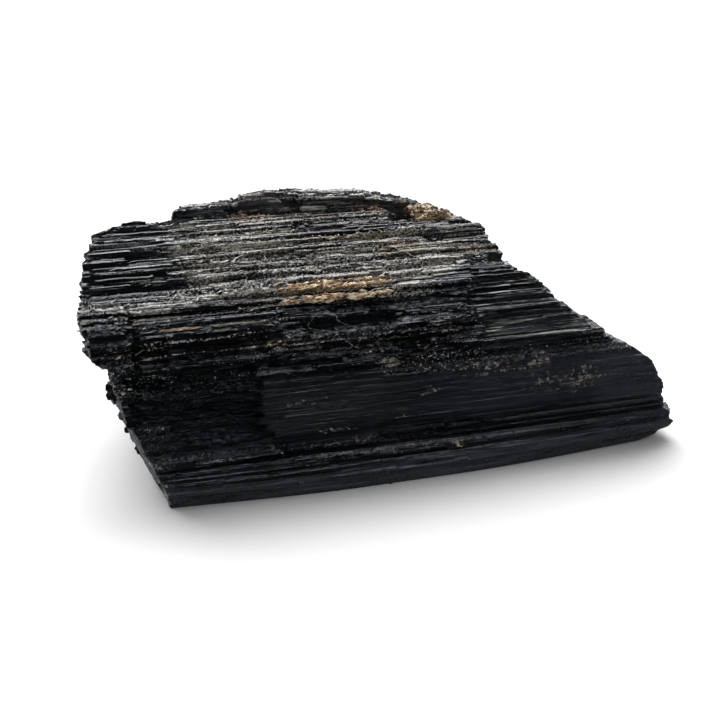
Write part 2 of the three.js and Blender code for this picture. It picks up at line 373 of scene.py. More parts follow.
# How the sides break from place to place: x range, u range, then how strong the prisms, ribs,
# splinters and broken chips are there, and the fade along x and along u.
CHARACTER = [
    ("everywhere", -99, 999, -99, 999, 1.2, 1.2, 1.1, 0.22, 1, 1),
    ("top", -99, 999, 42, 86, 0.8, 1.1, 1, 0.3, 1, 2),
    ("speckled middle", 12, 66, 46, 82, 0.8, 1, 1, 0.6, 8, 3),
    ("grainy shelf", -14, 26, 42.5, 50, 0.5, 0.7, 0.7, 0.5, 3, 1),
    ("clean left stripes", -16, 12, 51, 82, 0.7, 1.7, 0.7, 0.08, 4, 1),
    ("stained hollow", 26, 51, 39, 47, 0.4, 0.9, 1, 0.3, 2, 1),
    ("shoulder", -16, 67, 25, 41, 0.9, 1, 1.1, 0.6, 2, 2),
    ("plate", 19.5, 66, 12, 24, 0.3, 0.35, 0.6, 0.05, 1, 1),
    ("scoop", -6, 19, 10, 27, 0.5, 0.5, 0.7, 1.2, 1, 1),
    ("wing", 68, 112, 25.5, 42, 0.5, 0.9, 1.5, 0.06, 1, 1),
    ("left chunk", -20, -4, 28, 43.5, 1.2, 1.3, 0.9, 0.45, 1.5, 1),
    ("rough band", 48, 106, 21.6, 25.5, 0.6, 0.7, 0.9, 0.8, 8, 1),
    ("smooth right of plate", 60, 108, 11, 21.6, 0.1, 0.15, 0.35, 0.04, 10, 1),
    ("blunt right of plate", 96, 115, 4, 24, 0.3, 0.3, 0.5, 0.16, 6, 2),
    ("foot", -4, 112, 0, 5, 0.4, 0.4, 0.6, 0.15, 1, 1),
    ("ridge", 8, 70, 84.8, 95, 0.8, 1.5, 1.6, 0.7, 2, 0.5),
    ("tan knob", 68, 80, 73, 86, 0.4, 0.4, 0.6, 0.6, 2, 2),
    ("right of the top", 66, 84, 44, 76, 1, 1.3, 1.2, 0.3, 4, 3),
]


SCAR_COUNT = 130


def make_scars(seed):
    """Small hollows and lumps where slivers broke out, 2.5 to 19.5 mm long and 0.7 to 2.9 mm
    wide, as rows like those of PLACES."""
    rng = np.random.default_rng(seed)
    rows = []
    for _ in range(SCAR_COUNT):
        x, u = rng.uniform(-12, 108), rng.uniform(4, 155)
        long, wide = 2.5 + 17 * rng.random() ** 2, 0.7 + 2.2 * rng.random() ** 2
        rows.append(("scar", x, x + long, u, u + wide, rng.uniform(-0.9, 0.4), 0.7, 0.35))
    return rows


scars = make_scars(91)


def raise_sides(x, u):
    """How far the sides stand out from the plain outline at each point."""
    v, ragged = u, x
    for seed, far, length, width in WANDER:
        v = v + far * drift(seed, x / length, u / width)
    for seed, far, width in RAGGED:
        ragged = ragged + far * (chance(seed, np.floor(v / width)) - 0.5)
    ragged = ragged + 0.5 * drift(7, x / 0.8, u / 0.6) - slant(np.interp(u, turns, outline[:, 0]))

    levels = [0, 0, 0, 0]  # how strong prisms, ribs, splinters and chips are at each point
    for _, x0, x1, u0, u1, *strengths, fade_x, fade_u in CHARACTER:
        there = patch(ragged, v, x0, x1, u0, u1, fade_x, fade_u)
        levels = [old + (new - old) * there for old, new in zip(levels, strengths)]

    ribs, across, width = stripes(ragged, v, **RIBS)
    prisms, splinters = (stripes(ragged, v, **level)[0] for level in (PRISMS, SPLINTERS))
    # On the top the ribs lie like shingles, their back edges lower than the next one's front.
    ribs = ribs + inside(v, 41, U_RIDGE, 1.5) * SHINGLE_TILT * (0.5 - across) * width
    height = levels[0] * prisms + levels[1] * ribs + levels[2] * splinters
    for seed, lean, length, width, out in CHIPS:
        chip = chips(seed, (x + lean * u) / length, u / width, CHIP_TILT)
        height = height + levels[3] * chip * out
    # Scars are as deep as the ribs are strong.
    for share, rows in ((1, PLACES), (levels[1], scars)):
        for _, x0, x1, u0, u1, out, fade_x, fade_u in rows:
            height = height + out * share * patch(ragged, v, x0, x1, u0, u1, fade_x, fade_u)
    return height * inside(u, REST_EDGE, U_UNDER - REST_EDGE, 2 * REST_EDGE)


# ---- The skin ----

ROWS_AVERAGED = 9
END_BLEND = 6.0  # how far along the sides the ragged ends reach


def run_round(values):
    """How much values change from row to row round the outline, averaged over ROWS_AVERAGED."""
    change = np.roll(values, -1, 0) - np.roll(values, 1, 0)
    kernel = np.ones(ROWS_AVERAGED) / ROWS_AVERAGED
    padded = np.concatenate([change[-ROWS_AVERAGED:], change, change[:ROWS_AVERAGED]])
    smoothed = np.apply_along_axis(lambda column: np.convolve(column, kernel, "same"), 0, padded)
    return smoothed[ROWS_AVERAGED:-ROWS_AVERAGED]


def side_sheet():
    """Points of the sides as an array of rows round the outline by columns along x."""
    u = rows_round()[:, None]
    y, z = base_point(BEYOND_LEFT, u)
    start, stop = left_end(y, z), right_end(y, z)
    x = start + (stop - start) * np.linspace(0, 1, COLUMNS)[None, :]
    ragged_start = (broken_end(y, z, left_end) - start) * ease(1 - (x - start) / END_BLEND)
    ragged_stop = (broken_end(y, z, right_end) - stop) * ease(1 - (stop - x) / END_BLEND)
    x = x + ragged_start + ragged_stop
    u = np.broadcast_to(u, x.shape)
    y, z = base_point(x, u)
    run_y, run_z = run_round(y), run_round(z)
    length = np.hypot(run_y, run_z)
    out = raise_sides(x, u)
    return np.stack([x, y - out * run_z / length, np.maximum(z + out * run_y / length, 0)], axis=-1)


def towards_middle(y, z, share):
    """A share of the way from END_CENTRE to points of an end's edge."""
    return END_CENTRE[0] + (y - END_CENTRE[0]) * share, END_CENTRE[1] + (z - END_CENTRE[1]) * share


def end_sheet(edge, end):
    """Points of an end as rings from its edge, which it leaves out, in to its middle."""
    share = np.linspace(1, 0, END_RINGS + 1)[1:, None]
    x_edge, y_edge, z_edge = edge.T
    y, z = towards_middle(y_edge, z_edge, share)
    miss = x_edge - broken_end(y_edge, z_edge, end)
    rings = np.stack([broken_end(y, z, end) + miss * ease((share - 0.94) / 0.06), y, z], axis=-1)
    return rings[:-1], rings[-1, 0]


def block_skin():
    """Points in millimetres, triangles and quads of the whole block."""
    sides = side_sheet()
    rows, columns = sides.shape[:2]
    here = np.arange(rows * columns).reshape(rows, columns)
    above = np.roll(here, -1, 0)
    quads = [np.stack([here[:, :-1], here[:, 1:], above[:, 1:], above[:, :-1]], -1).reshape(-1, 4)]
    points, triangles = [sides.reshape(-1, 3)], []
    count = rows * columns
    for column, end, way in ((0, left_end, -1), (-1, right_end, 1)):
        rings, middle = end_sheet(sides[:, column], end)
        ring_ids = count + np.arange((END_RINGS - 1) * rows).reshape(-1, rows)
        ids = np.concatenate([here[:, column][None], ring_ids])
        points += [rings.reshape(-1, 3), middle[None]]
        count += ring_ids.size + 1
        turned = np.roll(ids, -1, 1)
        ring_quads = np.stack([ids[:-1], turned[:-1], turned[1:], ids[1:]], -1).reshape(-1, 4)
        quads.append(ring_quads[:, ::way])
        triangles.append(np.stack([ids[-1], turned[-1], np.full(rows, count - 1)], -1)[:, ::way])
    return np.concatenate(points), np.concatenate(triangles), np.concatenate(quads)


def make_piece(name, points, triangles, quads=np.empty((0, 4), int)):
    """An object from points in millimetres and from faces."""
    mesh = bpy.data.meshes.new(name)
    corners = np.concatenate([quads.ravel(), triangles.ravel()])
    sizes = np.concatenate([np.full(len(quads), 4), np.full(len(triangles), 3)])
    mesh.vertices.add(len(points))
    places = (points - np.array(BLOCK_MIDDLE)) * MM
    mesh.vertices.foreach_set("co", places.astype(np.float32).ravel())
    mesh.loops.add(len(corners))
    mesh.loops.foreach_set("vertex_index", corners.astype(np.int32))
    mesh.polygons.add(len(sizes))
    mesh.polygons.foreach_set("loop_start", (np.cumsum(sizes) - sizes).astype(np.int32))
    mesh.update(calc_edges=True)
    mesh.validate()
    piece = bpy.data.objects.new(name, mesh)
    bpy.context.scene.collection.objects.link(piece)
    return piece


def crease(piece, degrees):
    """Shades the piece smooth, but for edges sharper than an angle."""
    piece.data.shade_smooth()
    piece.data.set_sharp_from_angle(angle=math.radians(degrees))


def make_block():
    points, triangles, quads = block_skin()
    block = make_piece("tourmaline_block", points, triangles, quads)
    bpy.context.view_layer.objects.active = block
    block.modifiers.new("triangles", "TRIANGULATE")
    thin = block.modifiers.new("fewer_triangles", "DECIMATE")
    thin.ratio = min(1.0, MOST_TRIANGLES / (2 * len(quads) + len(triangles)))
    for modifier in list(block.modifiers):
        bpy.ops.object.modifier_apply(modifier=modifier.name)
    crease(block, BLOCK_CREASE)
    return block


# ---- Slabs and needles ----
# They lie along x on the sides, rooted in the skin. A section is drawn by how far across it each
# point is, from -0.5 to 0.5, and how much of the height the slab stands proud; -1 is under the skin.

SLAB_SECTION = [(-0.5, -1), (-0.45, 0.9), (0.08, 1.1), (0.45, 0.85), (0.5, -1)]
NEEDLE_SECTION = [(-0.5, -1), (-0.3, 1), (0.35, 0.7), (0.5, -1)]
ROOT = 0.7  # how deep they are rooted
SLAB_STATIONS = [0, 0.02, 0.08, 0.2, 0.35, 0.5, 0.65, 0.8, 0.92, 0.98, 1]
NEEDLE_STATIONS = [0, 0.5, 1]

# Where slabs lie: x range, u range, how many, widths, lengths, and how far they stand proud.
SLAB_BEDS = [
    ("top", -16, 66, 42.5, 84, 200, (0.4, 1.4), (8, 50), 0.7),
    ("middle of the top", 12, 70, 46, 82, 480, (0.35, 1.1), (2.5, 20), 0.6),
    ("right of the top", 60, 82, 42.5, 78, 300, (0.4, 1.6), (4, 22), 0.7),
    ("left stripes", -16, 13, 51, 83, 130, (0.7, 2), (12, 27), 0.7),
    ("shoulder", -16, 68, 25, 42, 190, (0.4, 1.5), (4, 30), 0.5),
    ("wing", 66, 112, 25, 42, 260, (0.3, 0.9), (10, 46), 0.5),
    ("scoop", -6, 19, 9, 27, 24, (0.4, 1.2), (3, 8), 0.4),
    ("plate and foot", 0, 110, 4, 24, 110, (0.4, 1.3), (14, 70), 0.18),
    ("lines along the foot", -2, 110, 4.6, 11.6, 110, (0.35, 0.9), (6, 60), 0.5),
    ("ridge", 14, 66, 85, 95, 190, (0.4, 1.6), (3, 20), 0.8),
    ("back", -10, 84, 95, 148, 280, (0.8, 3), (12, 70), 0.5),
]
NEEDLE_BEDS = [
    ("top", -16, 82, 42, 85, 1400, (0.22, 0.5), (3, 16), 0.5),
    ("middle of the top", 12, 76, 46, 82, 1200, (0.2, 0.45), (1.5, 7), 0.45),
    ("shoulder", -16, 68, 24.5, 42, 1500, (0.2, 0.5), (1.5, 9), 0.5),
    ("wing", 66, 112, 24, 42, 1700, (0.2, 0.45), (5, 34), 0.45),
    ("scoop", -8, 20, 9, 27, 160, (0.2, 0.5), (1.5, 5), 0.4),
    ("plate and foot", -2, 112, 4, 24, 800, (0.2, 0.5), (4, 40), 0.2),
    ("lines along the foot", -2, 110, 4.2, 12, 500, (0.2, 0.45), (3, 26), 0.4),
    ("ridge", 14, 69, 84.6, 96, 600, (0.2, 0.6), (1.5, 9), 0.5),
    ("back", -10, 84, 95, 148, 500, (0.3, 0.8), (6, 40), 0.4),
]
# Places that crusts or grains cover, where no slab or needle lies: x range and u range.
BARE_OF_SLABS = [
    (25.6, 51, 38.8, 47.4), (67, 79, 72, 86), (71, 82, 47, 57.5), (61, 68, 73, 83),
    (14, 26, 42.6, 47.4), (-15, 12, 80.5, 92), (-20, -5, 27, 44),
    (31, 48, 31.6, 34.8), (37, 67, 35.8, 38), (66, 69, 74, 88),
]
SIDE_SPAN = 0.8  # the side's slope at a point is taken between points this far before and behind
SLAB_SAMPLES = 25  # places along a slab where the side under it is looked at
STEADY = 0.55  # a slab ends where the side under it rises or falls by more than this
LEAST_OF_SHORTEST = 0.4  # a slab cut shorter than this share of its bed's shortest is left out


def on_side(x, u, out):
    """Points that stand out by a height from the plain outline of the sides."""
    (y, z), before, after = (base_point(x, u + off) for off in (0, -SIDE_SPAN, SIDE_SPAN))
    run_y, run_z = after[0] - before[0], after[1] - before[1]
    length = np.hypot(run_y, run_z)
    return np.stack([x, y - out * run_z / length, z + out * run_y / length], axis=-1)


def steady_stretch(first, last, u, width):
    """The height of the side under each slab, and the stretch of it round its middle that keeps
    near that height and off the bare places."""
    x = first[:, None] + (last - first)[:, None] * np.linspace(0, 1, SLAB_SAMPLES)
    sides = [raise_sides(x, u[:, None] + share * width[:, None]) for share in (-0.35, 0, 0.35)]
    height = np.min(sides, axis=0)
    lie = np.median(height, axis=1)
    steady = np.abs(height - lie[:, None]) < STEADY
    for x0, x1, u0, u1 in BARE_OF_SLABS:
        steady &= ~((x > x0) & (x < x1) & ((u > u0) & (u < u1))[:, None])
    middle = SLAB_SAMPLES // 2
    before = np.cumprod(steady[:, middle::-1], axis=1).sum(axis=1) - 1
    after = np.cumprod(steady[:, middle:], axis=1).sum(axis=1) - 1
    step, centre = (last - first) / (SLAB_SAMPLES - 1), (first + last) / 2
    return lie, centre - step * before, centre + step * after


def mostly_small(rng, sizes, count, power=2):
    """Sizes between a smallest and a largest one, most of them small."""
    return sizes[0] + (sizes[1] - sizes[0]) * rng.random(count) ** power


def lying_prisms(seed, beds, section, along):
    """Points of prisms that lie along x, as prisms by stations along each by points round it, and
    the shade of each prism."""
    rng = np.random.default_rng(seed)
    across, stand = np.array(section, float).T
    along = np.array(along)
    found, shades = [], []
    for _, x0, x1, u0, u1, count, widths, lengths, rise in beds:
        length, width = mostly_small(rng, lengths, count), mostly_small(rng, widths, count)
        u = rng.uniform(u0, u1, count)
        start = rng.uniform(x0, x1, count) - length / 2
        # They stop short of the broken ends.
        _, y, z = on_side(start, u, 0).T
        first = np.maximum(start, np.maximum(x0, left_end(y, z) + rng.uniform(0.8, 1.8, count)))
        furthest = right_end(y, z + 1) - rng.uniform(0.3, 1.6, count)
        last = np.minimum(start + length, np.minimum(x1 + 1, furthest))
        proud = rise * rng.uniform(0.1, 1, count) ** 1.5
        tilt = rng.normal(0.10, 0.18, count)
        shade = rng.random(count)
        real = last > first
        lie, first, last = steady_stretch(first, last, u, width)
        kept = real & (last - first > lengths[0] * LEAST_OF_SHORTEST)
        shades.append(shade[kept])
        first, last, u, width, proud, tilt, lie = (
            v[kept][:, None] for v in (first, last, u, width, proud, tilt, lie)
        )

        # Each wanders a little and isn't quite even, and its two tips are narrow and ragged.
        size = (len(u), len(along))
        tip = (np.minimum(along, 1 - along) < 0.001)[None, :]
        x = first + (last - first) * along
        centre = u + width * 0.07 * rng.normal(size=size)
        wide = width * (1 + 0.10 * rng.normal(size=size))
        wide = wide * np.where(tip, rng.uniform(0.15, 1, size), 1)
        uneven = 1 + 0.12 * rng.normal(size=size)
        top = lie + proud * (uneven * np.where(tip, rng.uniform(0.2, 1, size), 1))

        x = np.repeat(x[..., None], len(section), axis=2)
        x = x + tip[..., None] * rng.uniform(-0.4, 0.4, x.shape) * np.minimum(1, width)[..., None]
        above = top[..., None] + (stand - 1) * proud[..., None] - (tilt * width)[..., None] * across
        height = np.where(stand > 0, above, lie[..., None] - ROOT)
        found.append(on_side(x, centre[..., None] + across * wide[..., None], height))
    return np.concatenate(found), np.concatenate(shades)


def prism_faces(count, stations, around):
    """Triangles over the two ends of prisms and quads along them, for points in the order that
    lying_prisms gives them."""
    here = np.arange(count * stations * around).reshape(count, stations, around)
    beside = np.roll(here, -1, 2)
    quads = np.stack([here[:, :-1], here[:, 1:], beside[:, 1:], beside[:, :-1]], -1)
    triangles = []
    for j in range(1, around - 1):
        triangles += [here[:, 0][:, [0, j, j + 1]], here[:, -1][:, [0, j + 1, j]]]
    return np.concatenate(triangles), quads.reshape(-1, 4)


def make_prisms(name, points, shades):
    piece = make_piece(name, points.reshape(-1, 3), *prism_faces(*points.shape[:3]))
    crease(piece, PRISM_CREASE)
    return piece, np.repeat(shades, points.shape[1] * points.shape[2])


# ---- Prism ends ----

END_PRISM_COUNT = 1500  # at each end
END_PRISM_SIDES = 6
END_PRISM_ROOT = 4.0  # how deep they are rooted
OUTERMOST = 0.93  # how near the edge they stand, as a share of the way from the middle


def end_prisms(seed):
    """Short six-sided prisms that stand out of the two broken ends, each snapped off aslant."""
    rng = np.random.default_rng(seed)
    found = []
    for end, outward, beyond in ((left_end, -1, BEYOND_LEFT), (right_end, 1, BEYOND_RIGHT)):
        y_edge, z_edge = base_point(beyond, rng.uniform(0, U_ROUND, END_PRISM_COUNT))
        share = OUTERMOST * np.sqrt(rng.random(END_PRISM_COUNT))
        y, z = towards_middle(y_edge, z_edge, share)
        # None stand near the top or on the smooth bevel, and few on the right end's slope.
        smooth = ease((z - 34) / 4)
        if end is left_end:
            smooth = np.maximum(smooth_bevel(y, z), smooth)
        sparse = (end is right_end) * ease((z - 16) / 8) * 0.7
        smooth = np.maximum(smooth, rng.random(END_PRISM_COUNT) < sparse)
        y, z = y[smooth < 0.3, None], z[smooth < 0.3, None]
        count = len(y)
        radius = rng.uniform(0.35, 1.5, count)[:, None] ** 1.3
        angle = rng.uniform(0, 1, count)[:, None] + np.arange(END_PRISM_SIDES) / END_PRISM_SIDES
        angle = (angle + rng.uniform(-0.05, 0.05, angle.shape)) * math.tau
        ring_y = radius * np.cos(angle) * rng.uniform(0.6, 1.3, (count, 1))
        ring_z = radius * np.sin(angle) * 0.8
        slope = end_slope(z, end)
        proud = rng.uniform(-0.3, 0.8 - 0.3 * slope) * np.minimum(1, radius)
        aslant = rng.normal(0, 0.35, (2, count, 1))
        # Each snapped face follows the slope of the end.
        tip = broken_end(y, z, end) - end(y, z) + outward * proud + end(y + ring_y, z + ring_z)
        tip = tip + (aslant[0] * ring_y + aslant[1] * ring_z) * (1 - 0.7 * slope)
        root = tip.mean(axis=1, keepdims=True) - outward * END_PRISM_ROOT + 0 * tip
        x = np.stack([tip, root][::outward][::-1], axis=1)
        y, z = (np.repeat(v[:, None], 2, axis=1) for v in (y + ring_y, z + ring_z))
        # Seen along x the ring has to turn the same way as a lying prism's section.
        found.append(np.stack([x, y, np.maximum(z, 0.2)], axis=-1)[:, :, ::-1])
    points = np.concatenate(found)
    return points, rng.random(len(points))


# ---- Grains and crusts ----
# x range, u range, how many, lengths, share of the length that is width, and heading in degrees
# from x with its spread.

GRAIN_BEDS = [
    ("grainy shelf", -14, 26, 42, 51, 2000, (0.6, 2.6), 0.17, 45, 40),
    ("speckled middle", 14, 67, 46, 80, 3400, (0.7, 3.4), 0.14, 18, 32),
    ("bright crumpled run", 22, 62, 47, 55, 1700, (0.6, 2.4), 0.22, 55, 45),
    ("hatching", 16, 64, 46, 80, 1500, (0.9, 2.6), 0.13, 95, 20),
    ("right of the top", 66, 82, 43, 74, 200, (0.5, 1.8), 0.22, 20, 30),
    ("strokes by the pit", 66, 79, 47.4, 51.4, 200, (0.8, 2.6), 0.15, -32, 16),
    ("shoulder", -16, 67, 24, 42, 3600, (0.5, 2.2), 0.19, 8, 30),
    ("rough band", 50, 108, 21.2, 26, 900, (0.4, 1.6), 0.28, 14, 34),
    ("scoop", -7, 19, 9, 27, 1100, (0.3, 1.5), 0.4, 0, 60),
    ("foot lines", 0, 108, 5, 11.5, 800, (0.4, 1.8), 0.22, 0, 20),
    ("blunt right end", 94, 112, 3, 24, 160, (0.3, 0.9), 0.5, 0, 90),
    ("ridge", 13, 69, 84, 96, 900, (0.4, 1.6), 0.35, 10, 40),
    ("everywhere", -14, 100, 0, 148, 1500, (0.3, 1), 0.4, 0, 30),
]
CRUST_BEDS = [
    ("gold patch", 24.8, 51, 42.4, 47.2, 2100, (0.7, 2.8), 0.13, 16, 26),
    ("fibres across it", 27, 50, 42.6, 47.4, 240, (0.7, 2), 0.16, 105, 24),
    ("lower gold patch", 25.2, 50, 39.1, 40.8, 1000, (0.8, 2.8), 0.14, 6, 12),
    ("end of the gold patch", 44, 57, 43.5, 46.4, 260, (0.3, 1.5), 0.16, 20, 14),
    ("dust on crumpled run", 22, 62, 46.8, 54, 300, (0.3, 1.3), 0.14, 30, 20),
    ("dust on the top", 12, 74, 54, 84, 420, (0.3, 1.3), 0.13, 18, 22),
    ("cream streak", 36, 56, 65.4, 67.6, 150, (0.3, 1.6), 0.16, 8, 10),
    ("knob", 67.8, 77.5, 74, 83, 170, (0.5, 1.3), 0.8, 0, 90),
    ("patch by the pit", 69.5, 79.5, 51.9, 56.2, 420, (0.5, 2), 0.15, 26, 22),
    ("shelf line", 0.4, 8.6, 34.9, 35.5, 170, (0.9, 3), 0.1, 0, 4),
    ("shelf line going on", 9.6, 22, 34.9, 35.3, 140, (0.9, 3), 0.09, 0, 4),
    ("orange spots behind", 23, 35, 80.5, 85.5, 260, (0.5, 1.8), 0.4, 10, 40),
    ("spot on the ridge", 27.6, 33, 87.4, 89, 40, (0.5, 1.6), 0.25, 10, 30),
    ("orange spot", 37, 50, 77.5, 82.5, 240, (0.5, 1.6), 0.3, 10, 30),
    ("orange run behind", 54, 62, 80, 86.6, 200, (0.5, 1.6), 0.35, 10, 40),
    ("spot on the top", 54, 61, 55, 62.5, 140, (0.3, 1.2), 0.25, 10, 30),
    ("fleck a", 20, 25.5, 30, 31.6, 26, (0.3, 0.9), 0.3, 12, 30),
    ("fleck b", 24, 30, 18, 19.2, 26, (0.3, 0.8), 0.3, 0, 30),
    ("fleck c", 30, 37.5, 11.2, 12.6, 40, (0.3, 0.9), 0.25, 0, 20),
    ("fleck d", 19.5, 22.8, 8.6, 10.4, 30, (0.3, 0.9), 0.4, 30, 40),
    ("square fleck", 58.8, 61.6, 5.2, 7, 30, (0.5, 1.3), 0.7, 0, 20),
    ("flecks along the foot", 20, 62, 6, 9.5, 60, (0.3, 0.8), 0.3, 10, 30),
    ("left end spot", -9, -3.5, 24.4, 25.8, 40, (0.3, 1), 0.3, 0, 30),
    ("left end patch", -12.5, -3.5, 30.5, 34, 70, (0.5, 1.8), 0.1, 10, 14),
]
# Fine pale healed cracks: how far they stand above the skin, on the top so that they cross the
# slabs too, and their points x, u.
HEALED_CRACKS = [
    (0.5, [(10, 77), (11.2, 71.5), (13, 67), (13.4, 63)]),
    (0.5, [(31, 77), (32.4, 75.2), (33, 73.4)]),
    (0.5, [(36.6, 57.4), (37.6, 54.6), (39.4, 52)]),
    (0.12, [(30, 34), (33.7, 32.4), (36.3, 30.5), (39.8, 28.2)]),
    (0.12, [(30, 34), (32.5, 36.2), (35.5, 35.4), (38.8, 33.2), (41.6, 31.2)]),
]
CRACK_GRAINS = 7  # to a millimetre of crack
CRACK_GRAIN_SHARE = 0.36  # their width as a share of their length
GRAIN_LIFT = 0.4  # the most that a grain lies above the skin
GRAIN_SIDES = 5


def grains(rng, x, u, length, share, heading, lift):
    """Points and triangles of small angular grains lying on the sides, rooted in the skin: a ring
    of corners each, then a point above and one below."""
    count, ring_size = len(x), (len(x), GRAIN_SIDES)
    corners = np.arange(GRAIN_SIDES) / GRAIN_SIDES
    turn = (rng.random((count, 1)) + corners + rng.uniform(-0.06, 0.06, ring_size)) * math.tau
    reach = rng.uniform(0.75, 1.15, ring_size) * 0.5
    thick = length * share * rng.uniform(0.5, 1.1, count)
    long, wide = length[:, None], (length * share)[:, None]
    ring = np.stack([reach * np.cos(turn) * long, reach * np.sin(turn) * wide], -1)
    middles = rng.uniform(-0.15, 0.15, (count, 2, 2)) * long[..., None]
    run, side = np.moveaxis(np.concatenate([ring, middles], axis=1), -1, 0)
    low, high = rng.uniform(-0.1, 0.25, ring_size), rng.uniform(0.4, 0.8, (count, 1))
    height = np.concatenate([low, high, np.full((count, 1), -0.9)], axis=1) * thick[:, None]
    # Each is tilted a little along its length and more across it.
    height = height + run * rng.normal(0, 0.18, (count, 1)) + side * rng.normal(0, 0.4, (count, 1))
    c, s = np.cos(heading)[:, None], np.sin(heading)[:, None]
    height = raise_sides(x, u)[:, None] + lift + height
    points = on_side(x[:, None] + (c * run - s * side), u[:, None] + (s * run + c * side), height)
    first = (np.arange(count) * (GRAIN_SIDES + 2))[:, None]
    triangles = []
    for j in range(GRAIN_SIDES):
        after = (j + 1) % GRAIN_SIDES
        triangles += [first + [[j, after, GRAIN_SIDES]], first + [[after, j, GRAIN_SIDES + 1]]]
    return points.reshape(-1, 3), np.concatenate(triangles)


def bed_grains(seed, beds, patchy):
    """Where the grains of the beds lie: x, u, length, share of width and heading. Patchy beds
    thin out towards a ragged rim."""
    rng = np.random.default_rng(seed)
    rows = []
    for _, x0, x1, u0, u1, count, lengths, share, heading, spread in beds:
        x = rng.uniform(x0, x1, count)
        u = u0 + (u1 - u0) * rng.random(count)
        # Grains gather in runs along the prisms.
        gathered = drift(seed + 1, x / 7, u / 0.8) > rng.uniform(-1, 0.6, count)
        if patchy:
            off_x, off_u = (2 * x - x0 - x1) / (x1 - x0), (2 * u - u0 - u1) / (u1 - u0)
            rim = (np.abs(off_x) ** 3 + np.abs(off_u) ** 3) ** (1 / 3)
            ragged = 0.35 * drift(seed + 2, x / 2.5, u / 0.9)
            gathered &= rim + ragged < rng.uniform(0.7, 1.05, count)
        length = mostly_small(rng, lengths, count, 2.2)
        turn = np.radians(heading + spread * rng.normal(0, 0.6, count))
        row = np.stack([x, u, length, share * rng.uniform(0.6, 1.4, count), turn])
        rows.append(row[:, gathered])
    x, u, length, share, turn = np.concatenate(rows, axis=1)
    _, y, z = on_side(x, u, 0).T
    on_block = (x > left_end(y, z) + 0.4) & (x < right_end(y, z) - 0.4)
    return rng, [v[on_block] for v in (x, u, length, share, turn)]


def make_grains(name, seed, beds, patchy=False):
    rng, (x, u, *rest) = bed_grains(seed, beds, patchy)
    points, triangles = grains(rng, x, u, *rest, rng.uniform(0, GRAIN_LIFT, (len(x), 1)))
    # Neighbours are of much the same shade.
    patches = 0.5 + 0.9 * drift(seed + 3, x / 3.2, u / 0.5)
    shades = np.clip(0.6 * rng.random(len(x)) + 0.4 * patches, 0, 1)
    return make_piece(name, points, triangles), np.repeat(shades, GRAIN_SIDES + 2)


def make_healed_cracks():
    rng = np.random.default_rng(71)
    found = []
    for lift, path in HEALED_CRACKS:
        corners = np.array(path, float)
        steps = np.r_[0, np.cumsum(np.hypot(*np.diff(corners, axis=0).T))]
        t = np.sort(rng.uniform(0, steps[-1], int(steps[-1] * CRACK_GRAINS)))
        here, ahead, behind = (
            [np.interp(t + further, steps, corners[:, k]) for k in (0, 1)] for further in (0, 0.5, -0.5)
        )
        x, u = (v + rng.normal(0, 0.06, len(t)) for v in here)
        turn = np.arctan2(ahead[1] - behind[1], ahead[0] - behind[0])
        found.append([x, u, turn, np.full(len(t), lift)])
    x, u, turn, lift = np.concatenate(found, axis=1)
    length = rng.uniform(0.25, 0.6, len(x))
    return make_piece("healed_cracks", *grains(rng, x, u, length, CRACK_GRAIN_SHARE, turn, lift[:, None]))
